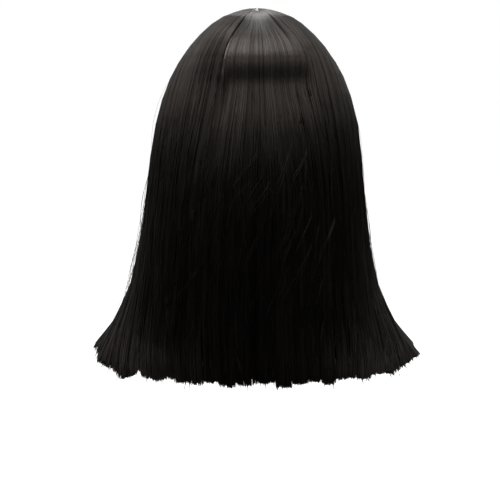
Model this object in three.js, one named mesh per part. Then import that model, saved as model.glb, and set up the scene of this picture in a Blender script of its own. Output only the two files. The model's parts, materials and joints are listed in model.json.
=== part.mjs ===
// A short straight wig with a centre parting: three panels of hair, in locks, on a net cap.
// Millimetres, +Z up. The wearer faces -Y, and +X is the wearer's left.
// The origin is the inside top of the cap, where the crown of the head touches it.

import * as THREE from "three";
import { mergeVertices } from "three/addons/utils/BufferGeometryUtils.js";

// Driving sizes
const GAP = 0.4; // clear distance between neighbouring pieces
const CAP_WALL = 1.5; // thickness of the net cap
const STRIP_WALL = 0.8; // thickness of the parting strip
const STRIP_LEVEL = 0.35; // how far down the hair the parting strip reaches, in rings
const STRIP_FADE = 0.9; // ring where the cap has risen to the hair again
const SQUARENESS = 2.25; // superellipse power of the rings: 2 is an ellipse, more is fuller
const EDGE_INSET = 0.02; // share of the half girth that the cap stays behind the face edge
const SLOPE_STEP = 0.01; // rings, or share of the half girth, over which slopes are measured
const MERGE_DISTANCE = 1e-3; // corners closer than this are one corner

// The outer surface of the hair, one row for each ring from the parting down to the ends.
// halfWidth is the widest x and lean moves the ring along x; back and front are its y behind and in front.
// zBack, zSide and zFront are its heights there, and hair is the depth of the hair below the surface.
// edge is the angle of the face edge round the ring, in degrees from the middle of the back.
const RING_COLUMNS = ["halfWidth", "lean", "back", "front", "zBack", "zSide", "zFront", "hair", "edge"];
const RINGS = [
  [1.5, 0, 12, -88, 4, -4, -49, 2.2, 155],
  [21, 0, 35, -93, 1.5, -9, -59, 5.5, 158],
  [41, 0, 58, -97, -7, -19, -72, 9, 157],
  [61, 0, 82, -100, -23, -38, -89, 12, 152],
  [77, 0, 103, -102, -49, -64, -109, 15, 147],
  [87.5, 0, 117, -103, -84, -98, -133, 17, 143],
  [92, 0.5, 122, -103, -124, -134, -161, 17, 142],
  [95.5, 1.2, 120, -102, -166, -170, -192, 16, 143],
  [101, 2.2, 114, -101, -208, -208, -225, 14.5, 144],
  [110.5, 3, 106.5, -101, -246, -246, -258, 13, 145.5],
  [126.5, 2.5, 101, -103, -281, -277, -286, 12, 147],
  [146, 1.5, 101, -107, -311, -302, -308, 11, 148],
];
const LAST_RING = RINGS.length - 1;

// Rings where the sheets have a row of corners, closer together round the fall below the crown.
const ROW_LEVELS = [
  ...[0, 0.35, 0.9, 1.5, 2.1, 2.7, 3.2, 3.58, 3.75, 3.91, 4.08, 4.5],
  ...[5.1, 5.6, 6, 6.4, 6.8, 7.5, 8.3, 9.1, 9.8, 10.4, LAST_RING],
];

// The panels of hair, in steps round the half girth: 0 is behind the head, HALF_GIRTH_STEPS a face edge.
// Two steps make a lock. A stepped panel lies over its neighbours at the crown and below them farther down.
const HALF_GIRTH_STEPS = 36;
const PANELS = [
  { name: "hair_left", from: 6, to: HALF_GIRTH_STEPS, stepped: false },
  { name: "hair_back", from: -10, to: 6, stepped: true },
  { name: "hair_right", from: -HALF_GIRTH_STEPS, to: -10, stepped: false },
];

// Relief of the locks
const LOCK_RIDGE = 2.4; // height of a lock's ridge at the ends
const LOCK_RIDGE_ROOT = 0.3; // and at the parting
const LOCK_STRAY = 1.2; // how far a lock may stand in or out at the ends
const LOCK_TURN = 2.4; // radians from one lock's stray to the next, so that none repeats
const TIP_NOTCH = 3; // depth of the notch between two locks at the cut
const TIP_STRAY = 2.5; // how much longer or shorter a lock may be
const TIP_TURN = 4.1; // radians from one lock's length to the next

// The hair thins towards the face edges
const EDGE_ROUND = 0.14; // share of the half girth over which it thins
const EDGE_THINNING = 0.65; // share of its depth that it loses

// The step of a stepped panel: it stands proud as far as the fall, dips there, and rises again below it.
const CREST = 4; // how proud it stands at the top of the fall
const CREST_ROOT = 0.6; // and at the parting
const CREST_RINGS = { from: 2.1, to: 3.58 };
const FALL_RINGS = { from: 3.58, to: 4.08 };
const DIP = 3; // how deep it lies at the foot of the fall
const RISE_RINGS = { from: 4.08, to: 5.1 };
const STEP_TAPER = 0.06; // share of the half girth over which the step runs out towards the right panel

// Behind the head the hair is drawn to the end of the parting. Each row is a part of its place that it loses
// there, down to the ring from, and less of it down to the ring to.
const GATHERS = [
  { part: 0.29, from: 1.5, to: 3.5 },
  { part: 0.36, from: 3.9, to: 7 },
];
const GATHER_SPREAD = 0.3; // share of the half girth that is drawn in

// Farther down the hair hangs straight while the surface flares, so it loses a part of its place again.
const HANG = 0.39; // the part that it loses at the ends
const HANG_RING = 6.5; // ring where that begins
const HANG_GROWTH = 1.7; // power by which it grows towards the ends
const HANG_SHARES = { from: 0.55, to: 1 }; // shares of the half girth where it fades, towards a face edge

// What the cut takes off the ends, a row for each place where they lie: share of the half girth, and length.
const TRIMS = [
  { share: -1, length: 0 },
  { share: -0.75, length: 3 },
  { share: -0.5, length: 2.5 },
  { share: -0.42, length: 0 },
  { share: 0.37, length: 0 },
  { share: 0.47, length: 1.5 },
  { share: 0.5, length: 5 },
  { share: 0.75, length: 5 },
  { share: 1, length: 0 },
];
const TRIM_RING = 9.1; // ring below which the rows close up where the ends are shorter
const RING_FALL = 30; // length of the hair in the last ring

// The lower edge of the cap, one row for each place round it: share of the half girth, and ring.
const CAP_EDGE = [
  { share: 0, ring: 6.6 }, // nape
  { share: 0.3, ring: 6.3 },
  { share: 0.52, ring: 5.2 }, // above the ear
  { share: 0.7, ring: 5.5 },
  { share: 0.82, ring: 6.0 }, // ear tab
  { share: 1, ring: 5.2 }, // temple
];

const HAIR_BLACK = new THREE.MeshStandardMaterial({ color: 0x0c0a0a, roughness: 0.38, metalness: 0 });
const NET_BLACK = new THREE.MeshStandardMaterial({ color: 0x161414, roughness: 0.85, metalness: 0 });
const PARTING_PALE = new THREE.MeshStandardMaterial({ color: 0xc9b8a8, roughness: 0.7, metalness: 0 });

const rings = new THREE.CubicInterpolant(
  RINGS.map((row, i) => i),
  RINGS.flat(),
  RING_COLUMNS.length,
);

const capEdge = new THREE.CubicInterpolant(
  CAP_EDGE.map((row) => row.share),
  CAP_EDGE.map((row) => row.ring),
  1,
);

const trims = new THREE.LinearInterpolant(
  TRIMS.map((row) => row.share),
  TRIMS.map((row) => row.length),
  1,
);

// The ring at a level between 0, the parting, and LAST_RING, the ends, as an object with the columns' names.
function ringAt(level) {
  const values = rings.evaluate(level);
  return Object.fromEntries(RING_COLUMNS.map((name, i) => [name, values[i]]));
}

function power(value) {
  return Math.sign(value) * Math.abs(value) ** (2 / SQUARENESS);
}

// A point of the outer surface. share runs from -1 to 1 between the face edges and is 0 behind the head.
function surfacePoint(share, level) {
  const ring = ringAt(level);
  const angle = share * THREE.MathUtils.degToRad(ring.edge);
  const side = Math.sin(angle);
  const behind = Math.cos(angle);
  const tilt = (ring.zBack - ring.zFront) / 2;
  const arch = (ring.zBack + ring.zFront) / 2 - ring.zSide;
  return new THREE.Vector3(
    ring.lean + ring.halfWidth * power(side),
    (ring.back + ring.front) / 2 + ((ring.back - ring.front) / 2) * power(behind),
    ring.zSide + tilt * behind + arch * behind ** 2,
  );
}

// The way along the ring past a point, from a slope step before it to a slope step after it.
function roundStep(share, level) {
  return surfacePoint(share + SLOPE_STEP, level).sub(surfacePoint(share - SLOPE_STEP, level));
}

// The outward normal of that surface.
function surfaceNormal(share, level) {
  const above = Math.max(level - SLOPE_STEP, 0);
  const below = Math.min(level + SLOPE_STEP, LAST_RING);
  const down = surfacePoint(share, below).sub(surfacePoint(share, above));
  return roundStep(share, level).cross(down).normalize();
}

// The point that lies depth below the surface, or above it where depth is negative.
function pointBelow(share, level, depth) {
  return surfacePoint(share, level).addScaledVector(surfaceNormal(share, level), -depth);
}

// Where the hair of a share lies once the crown has drawn it in and it hangs straight below.
function lie(share, level) {
  const { clamp, smoothstep } = THREE.MathUtils;
  const drawn = GATHERS.reduce((sum, row) => sum + row.part * (1 - smoothstep(level, row.from, row.to)), 0);
  const fallen = clamp((level - HANG_RING) / (LAST_RING - HANG_RING), 0, 1) ** HANG_GROWTH;
  const hung = HANG * fallen * (1 - smoothstep(Math.abs(share), HANG_SHARES.from, HANG_SHARES.to));
  return share * (1 - drawn * Math.exp(-((share / GATHER_SPREAD) ** 2)) - hung);
}

// The level where a row of a panel lies at a share: the last rows close up where the ends are cut shorter.
function rowLevel(share, row) {
  const shorter = trims.evaluate(lie(share, LAST_RING))[0] / RING_FALL;
  return row - shorter * THREE.MathUtils.clamp((row - TRIM_RING) / (LAST_RING - TRIM_RING), 0, 1);
}

// A closed mesh from triangles of points, with shared corners merged and collapsed triangles dropped.
function closedGeometry(triangles) {
  const positions = triangles.flat().flatMap((point) => point.toArray());
  const loose = new THREE.BufferGeometry();
  loose.setAttribute("position", new THREE.Float32BufferAttribute(positions, 3));
  const merged = mergeVertices(loose, MERGE_DISTANCE);
  const corners = Array.from(merged.index.array);
  const kept = [];
  for (let i = 0; i < corners.length; i += 3) {
    const [a, b, c] = corners.slice(i, i + 3);
    if (a !== b && b !== c && c !== a) kept.push(a, b, c);
  }
  merged.setIndex(kept);
  merged.computeVertexNormals();
  return merged;
}

// A wall between two grids of points, outer and inner, indexed [column][row].
// Columns run towards +share and rows towards the ends. An open sheet is closed by rims on its four sides;
// a sheet that is sewn along the parting has none there, because its first row meets its own mirror image.
function wallGeometry(outer, inner, sewn) {
  const triangles = [];
  const quad = (a, b, c, d) => triangles.push([a, c, b], [a, d, c]);
  const columns = outer.length - 1;
  const rows = outer[0].length - 1;
  for (let i = 0; i < columns; i++) {
    for (let j = 0; j < rows; j++) {
      quad(outer[i][j], outer[i][j + 1], outer[i + 1][j + 1], outer[i + 1][j]);
      quad(inner[i][j], inner[i + 1][j], inner[i + 1][j + 1], inner[i][j + 1]);
    }
    quad(outer[i][rows], inner[i][rows], inner[i + 1][rows], outer[i + 1][rows]);
    if (!sewn) quad(outer[i + 1][0], inner[i + 1][0], inner[i][0], outer[i][0]);
  }
  for (let j = 0; j < rows; j++) {
    quad(outer[0][j], inner[0][j], inner[0][j + 1], outer[0][j + 1]);
    quad(inner[columns][j + 1], inner[columns][j], outer[columns][j], outer[columns][j + 1]);
  }
  return closedGeometry(triangles);
}

function namedMesh(name, geometry, material) {
  const mesh = new THREE.Mesh(geometry, material);
  mesh.name = name;
  return mesh;
}

// The columns of a panel: for each lock one in its groove and one on its ridge, and then a last groove.
// The first and last stand back by half the gap between two panels.
function panelColumns(panel) {
  const columns = [];
  for (let step = panel.from; step <= panel.to; step++) {
    columns.push({
      share: step / HALF_GIRTH_STEPS,
      inset: (GAP / 2) * (Number(step === panel.from) - Number(step === panel.to)),
      onRidge: (step - panel.from) % 2 === 1,
      lock: Math.floor(step / 2),
    });
  }
  return columns;
}

// The share that lies a distance along the ring from another.
function shareBeside(share, level, distance) {
  return share + (distance * 2 * SLOPE_STEP) / roundStep(share, level).length();
}

// How far a stepped panel stands above its neighbours at a place.
function stepHeight(panel, share, level) {
  const { lerp, smoothstep } = THREE.MathUtils;
  const crest = lerp(CREST_ROOT, CREST, smoothstep(level, CREST_RINGS.from, CREST_RINGS.to));
  const fallen = smoothstep(level, FALL_RINGS.from, FALL_RINGS.to);
  const risen = smoothstep(level, RISE_RINGS.from, RISE_RINGS.to);
  const rightSide = panel.from / HALF_GIRTH_STEPS;
  const taper = smoothstep(share, rightSide, rightSide + STEP_TAPER);
  return taper * (crest * (1 - fallen) - DIP * fallen * (1 - risen));
}

// How far the surface of a panel stands above the plain surface.
function relief(panel, column, level) {
  const grown = level / LAST_RING;
  const ridge = column.onRidge ? THREE.MathUtils.lerp(LOCK_RIDGE_ROOT, LOCK_RIDGE, grown) : 0;
  const swing = column.onRidge ? LOCK_STRAY * Math.sin(column.lock * LOCK_TURN) * grown ** 2 : 0;
  const step = panel.stepped ? stepHeight(panel, column.share, level) : 0;
  const nearFace = THREE.MathUtils.smoothstep(Math.abs(column.share), 1 - EDGE_ROUND, 1);
  const thinning = ringAt(level).hair * EDGE_THINNING * nearFace;
  return ridge + swing + step - thinning;
}

// Pulls the last row up in the grooves and lets each lock end a little higher or lower.
function cutEnds(column, point) {
  const lift = column.onRidge ? TIP_STRAY * Math.sin(column.lock * TIP_TURN) : TIP_NOTCH;
  return point.setZ(point.z + lift);
}

function hairPanel(panel) {
  const columns = panelColumns(panel);
  const grid = (depthAt) =>
    columns.map((column) =>
      ROW_LEVELS.map((row) => {
        const level = rowLevel(column.share, row);
        const share = shareBeside(lie(column.share, level), level, column.inset);
        const point = pointBelow(share, level, depthAt(column, level));
        return row === LAST_RING ? cutEnds(column, point) : point;
      }),
    );
  const outer = grid((column, level) => -relief(panel, column, level));
  const inner = grid((column, level) => ringAt(level).hair);
  return namedMesh(panel.name, wallGeometry(outer, inner, false), HAIR_BLACK);
}

// The columns of the sheets under the hair, at the same steps, so that they are faceted as the hair is.
const SHEET_SHARES = Array.from({ length: HALF_GIRTH_STEPS * 2 + 1 }, (unused, i) =>
  THREE.MathUtils.clamp(i / HALF_GIRTH_STEPS - 1, EDGE_INSET - 1, 1 - EDGE_INSET),
);

// A sheet under the hair, sewn along the parting, that ends at the ring which lastLevel gives for a share.
function sewnSheet(depthAt, wall, lastLevel) {
  const grid = (extra) =>
    SHEET_SHARES.map((share) =>
      ROW_LEVELS.map((row) => {
        const level = Math.min(row, lastLevel(share));
        const point = pointBelow(lie(share, level), level, depthAt(level) + extra);
        return level === 0 ? point.setX(0) : point;
      }),
    );
  return wallGeometry(grid(0), grid(wall), true);
}

// The parting strip lies just under the roots of the hair.
function partingStrip() {
  const geometry = sewnSheet((level) => ringAt(level).hair + GAP, STRIP_WALL, () => STRIP_LEVEL);
  return namedMesh("parting_strip", geometry, PARTING_PALE);
}

// The cap lies under the hair, and dips under the parting strip.
function netCap() {
  const depthAt = (level) => {
    const dip = 1 - THREE.MathUtils.smoothstep(level, STRIP_LEVEL, STRIP_FADE);
    return ringAt(level).hair + GAP + dip * (STRIP_WALL + GAP);
  };
  const geometry = sewnSheet(depthAt, CAP_WALL, (share) => capEdge.evaluate(Math.abs(share))[0]);
  return namedMesh("cap", geometry, NET_BLACK);
}

const wig = new THREE.Group();
wig.name = "short_wig";
wig.add(netCap(), partingStrip(), ...PANELS.map(hairPanel));

export default wig;
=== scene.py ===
"""Dresses the short wig: strands of hair over three panels, a net cap with sewn rows, and a parting strip.

Metres, +Z up, except where a value says millimetres. The wearer faces -Y, and +X is the wearer's left.
"""
import json
import math

import bpy
import numpy as np
from mathutils.kdtree import KDTree
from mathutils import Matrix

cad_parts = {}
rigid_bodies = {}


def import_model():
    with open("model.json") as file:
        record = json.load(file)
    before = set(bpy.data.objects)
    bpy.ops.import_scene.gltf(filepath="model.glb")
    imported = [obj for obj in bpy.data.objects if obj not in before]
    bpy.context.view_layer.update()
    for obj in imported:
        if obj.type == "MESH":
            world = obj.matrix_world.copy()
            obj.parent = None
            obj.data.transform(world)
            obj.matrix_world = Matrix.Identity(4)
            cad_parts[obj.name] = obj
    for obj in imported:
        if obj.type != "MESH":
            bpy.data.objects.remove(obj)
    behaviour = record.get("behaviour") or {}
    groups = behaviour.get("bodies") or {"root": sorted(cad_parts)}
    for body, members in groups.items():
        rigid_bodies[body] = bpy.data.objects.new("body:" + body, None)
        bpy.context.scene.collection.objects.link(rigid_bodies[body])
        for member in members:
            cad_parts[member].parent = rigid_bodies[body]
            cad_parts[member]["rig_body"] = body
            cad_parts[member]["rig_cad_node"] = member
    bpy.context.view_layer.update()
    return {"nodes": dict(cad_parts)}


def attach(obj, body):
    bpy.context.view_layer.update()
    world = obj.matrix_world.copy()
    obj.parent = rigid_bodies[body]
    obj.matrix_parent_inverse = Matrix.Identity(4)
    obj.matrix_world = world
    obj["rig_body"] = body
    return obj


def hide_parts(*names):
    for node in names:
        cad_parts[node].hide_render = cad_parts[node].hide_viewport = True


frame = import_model()

MM = 0.001
SEED = 8013
rng = np.random.default_rng(SEED)

# The outer surface of the hair, a row for each ring from the parting to the ends, in millimetres and degrees
RING_COLUMNS = ("half_width", "lean", "back", "front", "z_back", "z_side", "z_front", "hair", "edge")
RINGS = np.array([
    [1.5, 0, 12, -88, 4, -4, -49, 2.2, 155],
    [21, 0, 35, -93, 1.5, -9, -59, 5.5, 158],
    [41, 0, 58, -97, -7, -19, -72, 9, 157],
    [61, 0, 82, -100, -23, -38, -89, 12, 152],
    [77, 0, 103, -102, -49, -64, -109, 15, 147],
    [87.5, 0, 117, -103, -84, -98, -133, 17, 143],
    [92, 0.5, 122, -103, -124, -134, -161, 17, 142],
    [95.5, 1.2, 120, -102, -166, -170, -192, 16, 143],
    [101, 2.2, 114, -101, -208, -208, -225, 14.5, 144],
    [110.5, 3, 106.5, -101, -246, -246, -258, 13, 145.5],
    [126.5, 2.5, 101, -103, -281, -277, -286, 12, 147],
    [146, 1.5, 101, -107, -311, -302, -308, 11, 148],
])
LAST_RING = len(RINGS) - 1
PADDED_RINGS = np.vstack([2 * RINGS[0] - RINGS[1], RINGS, 2 * RINGS[-1] - RINGS[-2]])
SQUARENESS = 2.25  # superellipse power of the rings
SLOPE_STEP = 0.01  # rings, or share of the half girth, over which slopes are measured
RING_FALL = 30.0  # millimetres of hair in the last ring

# The panels, in steps round the half girth: 0 is the middle of the back and HALF_GIRTH a face edge
HALF_GIRTH = 36
SIDE_LEVELS = (
    *(0, 0.15, 0.4, 0.8, 1.2, 1.65, 2.1, 2.55, 3, 3.45, 3.9, 4.4, 5),
    *(5.8, 6.8, 7.8, 8.4, 8.9, 9.4, 9.9, 10.4, 11),
)
BACK_LEVELS = (
    *(0, 0.15, 0.4, 0.8, 1.2, 1.6, 2, 2.4, 2.75, 3.1, 3.4, 3.55, 3.68, 3.8, 3.92, 4.04),
    *(4.16, 4.3, 4.5, 4.85, 5.5, 6.4, 7.5, 9.2, 11),
)
PANEL_COLUMNS = ("piece", "from", "to", "strands", "levels")
PANEL_ROWS = (
    ("hair_left", "left_hair", 6, HALF_GIRTH, 1500, SIDE_LEVELS),
    ("hair_back", "back_hair", -10, 6, 1290, BACK_LEVELS),
    ("hair_right", "right_hair", -HALF_GIRTH, -10, 1500, SIDE_LEVELS),
)
PANELS = {node: dict(zip(PANEL_COLUMNS, row)) for node, *row in PANEL_ROWS}
SPANS = {node: (panel["from"] / HALF_GIRTH, panel["to"] / HALF_GIRTH) for node, panel in PANELS.items()}
BACK_RIGHT, BACK_LEFT = SPANS["hair_back"]

# Relief of the locks, in millimetres
LOCK_RIDGE = 1.5
LOCK_GROWTH = 1.6
LOCK_GROWN_MOST = 1.05  # of the way to the last ring
LOCK_UNEVEN = ((0.011, 23.1, 0), (0.006, 61.7, 1.3))  # sizes, turns and starts of waves in their widths
LOCK_STRAY = 1.0
LOCK_TURN = 2.4
TIP_STRAY = 1.8
TIP_TURN = 4.1
EDGE_ROUND = 0.14
EDGE_THINNING = 0.65

# The back panel lies over its neighbours at the crown, falls in below it and comes out again
CREST_ROOT = 0.6
CREST = 4.4
CREST_RINGS = (2.2, 3.58)
FALL_RINGS = (3.62, 4.24)
FALL_EVEN = 0.3  # how far the fall is an even slope
DIP = 4.6
RISE_RINGS = (4.24, 5.5)
DIP_TAPER = (-0.035, 0.05)  # shares from the right seam over which the fall fades out
RIM = 0.8
RIM_WIDTH = 0.013
RIM_RISE = 1.6
RIM_RISE_RINGS = (3.1, 3.95)
RIM_FALL_RINGS = (3.95, 4.7)
RIM_SHADE = -1.2  # below 0 a strand is smoother and glossier, and its base colour the lightest: partly a painted highlight along the rim
# Near the crown the rim strands are mixed toward matte black: painted shade that dims their line there
RIM_PAINTED_SHADE = 0.3
RIM_PAINTED_SHADE_RINGS = (1.4, 2.6)

# The seams beside the back panel: how deep its neighbours lie there, and over what share of the half girth
SEAMS = {"hair_left": (0.9, 0.02), "hair_right": (0.9, 0.03)}
SEAM_ROOT_RINGS = (0.5, 1.3)
SEAM_END_RINGS = (3.7, 4.9)
SEAM_GAPS = {"hair_left": 0.017, "hair_back": 0, "hair_right": -0.006}
SEAM_GAP_END_RINGS = (3.4, 4.2)
SEAM_GAP_SPREAD = 0.05

# To the left of the back panel the hair falls away in a shallow valley
VALLEY = 2.4
VALLEY_MIDDLE = 0.225
VALLEY_WIDTH = 0.07
VALLEY_ROOT_RINGS = (2.2, 3.3)
VALLEY_END_RINGS = (4.2, 6.5)
VALLEY_PAINTED_SHADE = 0.25  # how much painted shade it gets for each millimetre of depth
VALLEY_PAINTED_SHADE_WIDTH = 0.092
VALLEY_PAINTED_SHADE_LOSS = 0.6  # how much of that is lost farther down
VALLEY_PAINTED_SHADE_RINGS = (3.8, 4.5)

# Painted shadow lines at the crown: panel, share, how much painted shade, width as a share, and rings each
# opens and closes over
PAINTED_SHADOW_LINES = (
    ("hair_left", BACK_LEFT, 1.0, 0.018, (1.1, 1.5), (3.2, 3.9)),
    ("hair_back", -0.2, 0.7, 0.011, (1.2, 1.7), (2.6, 3.3)),
)

# Behind, the strands gather to the end of the parting
GATHER_CROWN = 0.34
GATHER_CROWN_RINGS = (1.5, 3.5)
GATHER_BELOW = 0.36
GATHER_BELOW_RINGS = (3.9, 7)
GATHER_SPREAD = 0.3

# Farther down they hang straight, and only the sides flare with the surface
HANG = 0.39
HANG_RING = 6.5
HANG_GROWTH = 1.7
HANG_SHARES = (0.55, 1)

# What the cut takes off the ends, in millimetres, by the share where they lie: the side locks are shorter
TRIMS = (
    *((-0.95, 0), (-0.76, 4), (-0.64, 8), (-0.6, 7), (-0.57, 1), (-0.5, 2.5), (-0.42, 0), (0.264, 0)),
    *((0.279, 7), (0.29, -1), (0.318, -4), (0.37, -1.5), (0.472, 1.5), (0.492, 6), (0.56, 10), (0.585, 9)),
    *((0.6, 3), (0.63, 2), (0.66, 0), (0.73, 0), (0.78, 4), (0.95, 0)),
)

# Grooves between locks farther down, by share: depth in millimetres, width and gap as shares, and rings
GROOVES = (
    (0.627, 2.2, 0.012, 0.006, 8.2, 10),
    (0.447, 2.4, 0.014, 0.01, 7, 10),
    (-0.53, 1.8, 0.01, 0.005, 8, 9.4),
    (-0.6, 1.8, 0.01, 0.006, 8.8, 10),
)
GROOVE_SPREAD = 0.012  # share over which the strands beside a gap draw together
GROOVE_FADE = 0.7  # rings

# The flared ends at the sides are mixed toward matte black: less gloss, and painted shade where less light
# reaches them
SIDE_PAINTED_SHADE = 0.42
SIDE_SHADE_RINGS = (8.2, 10.2)
SIDE_SHADE_SHARES = (0.2, 0.45)
END_PAINTED_SHADE = 0.8  # painted shade on cut ends that lie deep in the hair, the deeper the more

# The notch at the back end of the parting, in millimetres
PARTING_DIP = 2.7
PARTING_HALF = 2.0
DIP_FRONT = (-6, 8)
DIP_BACK = (12, 28)

# The net cap: rings where its lower edge runs, by share of the half girth, and millimetres
CAP_EDGE_SHARES = (0, 0.3, 0.52, 0.7, 0.82, 1)
CAP_EDGE_RINGS = (6.6, 6.3, 5.2, 5.5, 6.0, 5.2)
CAP_DEPTH = 0.4
CAP_DIP = 1.2  # how much deeper it lies under the parting strip
CAP_DIP_RINGS = (0.35, 0.9)
CAP_WALL = 1.5


def smoothstep(value, low, high):
    t = np.clip((value - low) / (high - low), 0, 1)
    return t * t * (3 - 2 * t)


def unit(vectors):
    return vectors / np.linalg.norm(vectors, axis=-1, keepdims=True)


def ring_at(level):
    """The ring at each level, on a smooth curve through the table, as arrays by column name."""
    level = np.asarray(level, float)
    low = np.clip(np.floor(level).astype(int), 0, LAST_RING - 1)
    t = (level - low)[..., None]
    before, first, second, after = (PADDED_RINGS[low + k] for k in range(4))
    bend = 2 * before - 5 * first + 4 * second - after + t * (3 * (first - second) + after - before)
    values = first + 0.5 * t * (second - before + t * bend)
    return dict(zip(RING_COLUMNS, np.moveaxis(values, -1, 0)))


def power(value):
    return np.sign(value) * np.abs(value) ** (2 / SQUARENESS)


def surface_point(share, level):
    """Points of the outer surface, in millimetres."""
    ring = ring_at(level)
    angle = share * np.radians(ring["edge"])
    behind = np.cos(angle)
    tilt = (ring["z_back"] - ring["z_front"]) / 2
    arch = (ring["z_back"] + ring["z_front"]) / 2 - ring["z_side"]
    x = ring["lean"] + ring["half_width"] * power(np.sin(angle))
    y = (ring["back"] + ring["front"]) / 2 + (ring["back"] - ring["front"]) / 2 * power(behind)
    z = ring["z_side"] + tilt * behind + arch * behind**2
    return np.stack([x, y, z], axis=-1)


def surface_normal(share, level):
    above = np.maximum(level - SLOPE_STEP, 0)
    down = surface_point(share, level + SLOPE_STEP) - surface_point(share, above)
    round_ring = surface_point(share + SLOPE_STEP, level) - surface_point(share - SLOPE_STEP, level)
    return unit(np.cross(round_ring, down))


def lie(share, level):
    """Where a strand lies: drawn to the end of the parting at the crown, and hanging straight below."""
    crown = GATHER_CROWN * (1 - smoothstep(level, *GATHER_CROWN_RINGS))
    below = GATHER_BELOW * (1 - smoothstep(level, *GATHER_BELOW_RINGS))
    drawn = (crown + below) * np.exp(-((share / GATHER_SPREAD) ** 2))
    fallen = np.clip((level - HANG_RING) / (LAST_RING - HANG_RING), 0, 1) ** HANG_GROWTH
    hung = HANG * fallen * (1 - smoothstep(np.abs(share), *HANG_SHARES))
    return share * (1 - drawn - hung)


def trim(lying):
    """How much shorter the ends are cut at a share, in millimetres."""
    return np.interp(lying, *zip(*TRIMS))


def parting_dip(points):
    """How far the hair sinks to the parting strip at the back end of the parting, in millimetres."""
    x, y = points[..., 0], points[..., 1]
    sunk = PARTING_DIP * np.exp(-((x / PARTING_HALF) ** 2))
    return sunk * smoothstep(y, *DIP_FRONT) * (1 - smoothstep(y, *DIP_BACK))


def place(share, level, height):
    """Points in metres that stand height millimetres off the surface, with the surface's normals."""
    lying = lie(share, level)
    normal = surface_normal(lying, level)
    points = surface_point(lying, level)
    points = points + normal * (height - parting_dip(points))[..., None]
    return MM * points, normal


def ridge_wave(share):
    """0 in the groove between two locks and 1 on the ridge of a lock, with locks of uneven width."""
    uneven = share
    for size, turn, start in LOCK_UNEVEN:
        uneven = uneven + size * np.sin(turn * share + start)
    return 0.5 - 0.5 * np.cos(np.pi * uneven * HALF_GIRTH)


def lock_number(share):
    return np.floor(share * HALF_GIRTH / 2)


def back_step(share, level):
    """How far the back panel stands over its neighbours, or lies below them, in millimetres."""
    first, last = FALL_RINGS
    even = np.clip((level - first) / (last - first), 0, 1)
    fallen = FALL_EVEN * even + (1 - FALL_EVEN) * smoothstep(level, first, last)
    crest = CREST_ROOT + (CREST - CREST_ROOT) * smoothstep(level, *CREST_RINGS)
    step = crest * (1 - fallen) - DIP * fallen * (1 - smoothstep(level, *RISE_RINGS))
    on_rim = np.exp(-(((BACK_LEFT - share) / RIM_WIDTH) ** 2))
    rim = crest + RIM + RIM_RISE * smoothstep(level, *RIM_RISE_RINGS)
    rim = rim * (1 - smoothstep(level, *RIM_FALL_RINGS))
    faded = smoothstep(share - BACK_RIGHT, *DIP_TAPER)
    return (step + (rim - step) * on_rim) * faded


def seam(share, level):
    """How deep the side panels lie beside the back panel, in millimetres."""
    (left, left_width), (right, right_width) = SEAMS["hair_left"], SEAMS["hair_right"]
    deep = left * np.exp(-(((share - BACK_LEFT) / left_width) ** 2)) * (share > 0)
    deep += right * np.exp(-(((share - BACK_RIGHT) / right_width) ** 2)) * (share < 0)
    return deep * smoothstep(level, *SEAM_ROOT_RINGS) * (1 - smoothstep(level, *SEAM_END_RINGS))


def valley(share, level, width=VALLEY_WIDTH):
    """How deep the hair lies to the left of the back panel, in millimetres."""
    opened = smoothstep(level, *VALLEY_ROOT_RINGS) * (1 - smoothstep(level, *VALLEY_END_RINGS))
    return VALLEY * opened * np.exp(-(((share - VALLEY_MIDDLE) / width) ** 2))


def seam_shift(node, share, level):
    """How far the strands of a side panel stay clear of the back panel, as a share of the half girth."""
    beside = BACK_LEFT if share.mean() > 0 else BACK_RIGHT
    opened = smoothstep(level, *SEAM_ROOT_RINGS) * (1 - smoothstep(level, *SEAM_GAP_END_RINGS))
    return SEAM_GAPS[node] * opened * np.exp(-np.abs(share - beside) / SEAM_GAP_SPREAD)


def groove_opening(level, first, last):
    return smoothstep(level, first, first + GROOVE_FADE) * (1 - smoothstep(level, last, last + GROOVE_FADE))


def grooves(share, level):
    """How deep the grooves between locks are, in millimetres."""
    deep = 0
    for middle, depth, width, _, *rings in GROOVES:
        deep = deep + depth * groove_opening(level, *rings) * np.exp(-(((share - middle) / width) ** 2))
    return deep


def groove_shift(share, level):
    """How far the strands draw back from the grooves between locks, as a share of the half girth."""
    shift = 0
    for middle, _, _, gap, *rings in GROOVES:
        away = share - middle
        opened = gap * groove_opening(level, *rings)
        shift = shift + opened * np.sign(away) * np.exp(-np.abs(away) / GROOVE_SPREAD)
    return shift


def relief(share, level, on_back):
    """How far the panels stand off the plain surface, in millimetres."""
    grown = np.clip(level / LAST_RING, 0, LOCK_GROWN_MOST)
    height = LOCK_RIDGE * grown**LOCK_GROWTH
    swing = LOCK_STRAY * np.sin(lock_number(share) * LOCK_TURN) * grown**2
    thinning = ring_at(level)["hair"] * EDGE_THINNING * smoothstep(np.abs(share), 1 - EDGE_ROUND, 1)
    step = np.where(on_back | (share < 0), back_step(share, level), -valley(share, level))
    step = step - np.where(on_back, 0, seam(share, level))
    return ridge_wave(share) * (height + swing) - thinning + step - grooves(share, level)


def side_painted_shade(share, level):
    """How much the flared ends at the sides are mixed toward matte black, from 0 to 1: less gloss and painted
    shade.
    """
    return SIDE_PAINTED_SHADE * smoothstep(level, *SIDE_SHADE_RINGS) * smoothstep(np.abs(lie(share, level)), *SIDE_SHADE_SHARES)


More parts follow.
